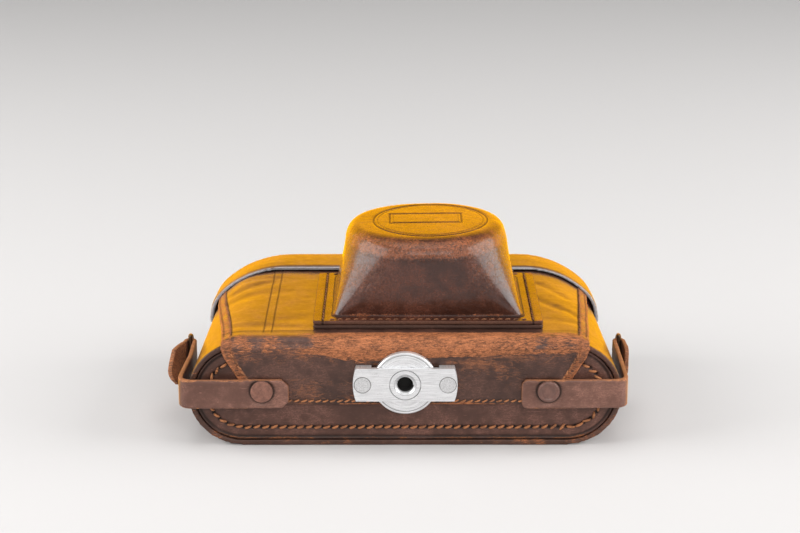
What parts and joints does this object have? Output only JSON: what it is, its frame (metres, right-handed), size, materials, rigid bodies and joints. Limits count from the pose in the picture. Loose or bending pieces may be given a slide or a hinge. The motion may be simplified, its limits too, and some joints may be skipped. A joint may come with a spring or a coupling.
{
  "type": "camera ever-ready case",
  "caption": "Hard leather ever-ready case with a lens nose, swing-down front cover, captive tripod screw and strap ends, holding a 35 mm camera.",
  "frame": {"origin": "point on the flat back of the case, under the middle of its height and in line with the tripod screw; the case rests there on its back", "axes": "+X to the right seen from the bottom panel, +Y from the bottom panel to the top panel, +Z out of the lens nose; the tripod screw faces -Y"},
  "size_m": [0.173, 0.1353, 0.0748],
  "materials": {
    "case_leather": "waxed, worn",
    "strap_leather": "waxed",
    "velvet": "short pile",
    "plate_aluminium": "brushed",
    "rivet_paint": "lacquered",
    "steel": "satin",
    "nickel": "worn",
    "camera_alloy": "painted black inside",
    "satin_chrome": "satin",
    "leatherette": "pebbled",
    "black_metal": "satin",
    "brass": "machined",
    "optical_glass": "coated"
  },
  "bodies": {
    "case_and_camera": {"back_shell": "case_leather", "bottom_panel": "case_leather", "hinge_flap": "case_leather", "strap_left": "strap_leather", "strap_right": "strap_leather", "shell_lining": "velvet", "bottom_lining": "velvet", "screw_bridge": "plate_aluminium", "bridge_rivets": "plate_aluminium", "strap_rivets": "rivet_paint", "rivet_washers": "steel", "backing_plate": "steel", "pressure_plate": "steel", "shutter_blind": "steel", "base_screws": "steel", "dial_spindle": "steel", "camera_body": "camera_alloy", "top_cover": "satin_chrome", "base_plate": "satin_chrome", "accessory_shoe": "satin_chrome", "lens_mount": "satin_chrome", "lens_barrel": "satin_chrome", "strap_lugs": "satin_chrome", "body_covering": "leatherette", "camera_back": "leatherette", "lens_rim": "black_metal", "iris_blades": "black_metal", "tripod_bush": "brass", "finder_window": "optical_glass", "eyepiece": "optical_glass", "front_glass": "optical_glass", "rear_glass": "optical_glass"},
    "front_cover": {"front_cover": "case_leather", "cover_lining": "velvet", "nose_backing": "case_leather", "lens_nose": "case_leather", "nose_lining": "velvet", "top_cap": "case_leather", "cap_lining": "velvet", "snap_stud": "nickel"},
    "closure_tongue": {"closure_tongue": "case_leather", "snap_socket": "nickel"},
    "ring_left": {"ring_left": "steel"},
    "ring_right": {"ring_right": "steel"},
    "retaining_screw": {"retaining_screw": "plate_aluminium"},
    "wind": {"wind_knob": "satin_chrome", "takeup_spool": "black_metal"},
    "film_sprocket": {"film_sprocket": "black_metal"},
    "rewind": {"rewind_knob": "satin_chrome", "rewind_fork": "steel"},
    "release_button": {"release_button": "satin_chrome"},
    "speed_dial": {"speed_dial": "satin_chrome"},
    "focus_ring": {"focus_ring": "satin_chrome"},
    "aperture_ring": {"aperture_ring": "satin_chrome"}
  },
  "joints": [
    {"name": "cover_hinge", "type": "hinge", "parent": "case_and_camera", "child": "front_cover", "pos_m": [0, -0.046, 0.0418], "axis": [1, 0, 0], "range_deg": [0, 150]},
    {"name": "tongue_hinge", "type": "hinge", "parent": "case_and_camera", "child": "closure_tongue", "pos_m": [0, 0.04905, 0.0032], "axis": [1, 0, 0], "range_deg": [0, 88]},
    {"name": "ring_left_swing", "type": "hinge", "parent": "case_and_camera", "child": "ring_left", "pos_m": [-0.082, -0.0092, 0.0212], "axis": [0, 0, 1], "range_deg": [0, 90]},
    {"name": "ring_right_swing", "type": "hinge", "parent": "case_and_camera", "child": "ring_right", "pos_m": [0.082, -0.0092, 0.0212], "axis": [0, 0, -1], "range_deg": [0, 90]},
    {"name": "retaining_screw_turn", "type": "hinge", "parent": "case_and_camera", "child": "retaining_screw", "pos_m": [0, -0.049, 0.0257], "axis": [0, -1, 0], "continuous": true},
    {"name": "wind_knob_turn", "type": "hinge", "parent": "case_and_camera", "child": "wind", "pos_m": [-0.0545, 0.017, 0.0193], "axis": [0, 1, 0], "continuous": true},
    {"name": "sprocket_turn", "type": "hinge", "parent": "case_and_camera", "child": "film_sprocket", "pos_m": [-0.038, -0.009, 0.0128], "axis": [0, 1, 0], "continuous": true},
    {"name": "rewind_knob_turn", "type": "hinge", "parent": "case_and_camera", "child": "rewind", "pos_m": [0.0545, 0.017, 0.0193], "axis": [0, 1, 0], "continuous": true},
    {"name": "release_press", "type": "slide", "parent": "case_and_camera", "child": "release_button", "axis": [0, -1, 0], "range_m": [0, 0.0018], "stiffness_N_per_m": 600, "springref_m": -0.001},
    {"name": "speed_dial_turn", "type": "hinge", "parent": "case_and_camera", "child": "speed_dial", "pos_m": [-0.022, 0.031, 0.0153], "axis": [0, 1, 0], "range_deg": [0, 300]},
    {"name": "focus_turn", "type": "hinge", "parent": "case_and_camera", "child": "focus_ring", "pos_m": [0.0084, -0.0105, 0.044], "axis": [0, 0, 1], "range_deg": [0, 270]},
    {"name": "aperture_turn", "type": "hinge", "parent": "case_and_camera", "child": "aperture_ring", "pos_m": [0.0084, -0.0105, 0.051], "axis": [0, 0, 1], "range_deg": [0, 110]}
  ],
  "couplings": [
    {"joint": "sprocket_turn", "follows": "wind_knob_turn", "ratio": 1.1}
  ]
}
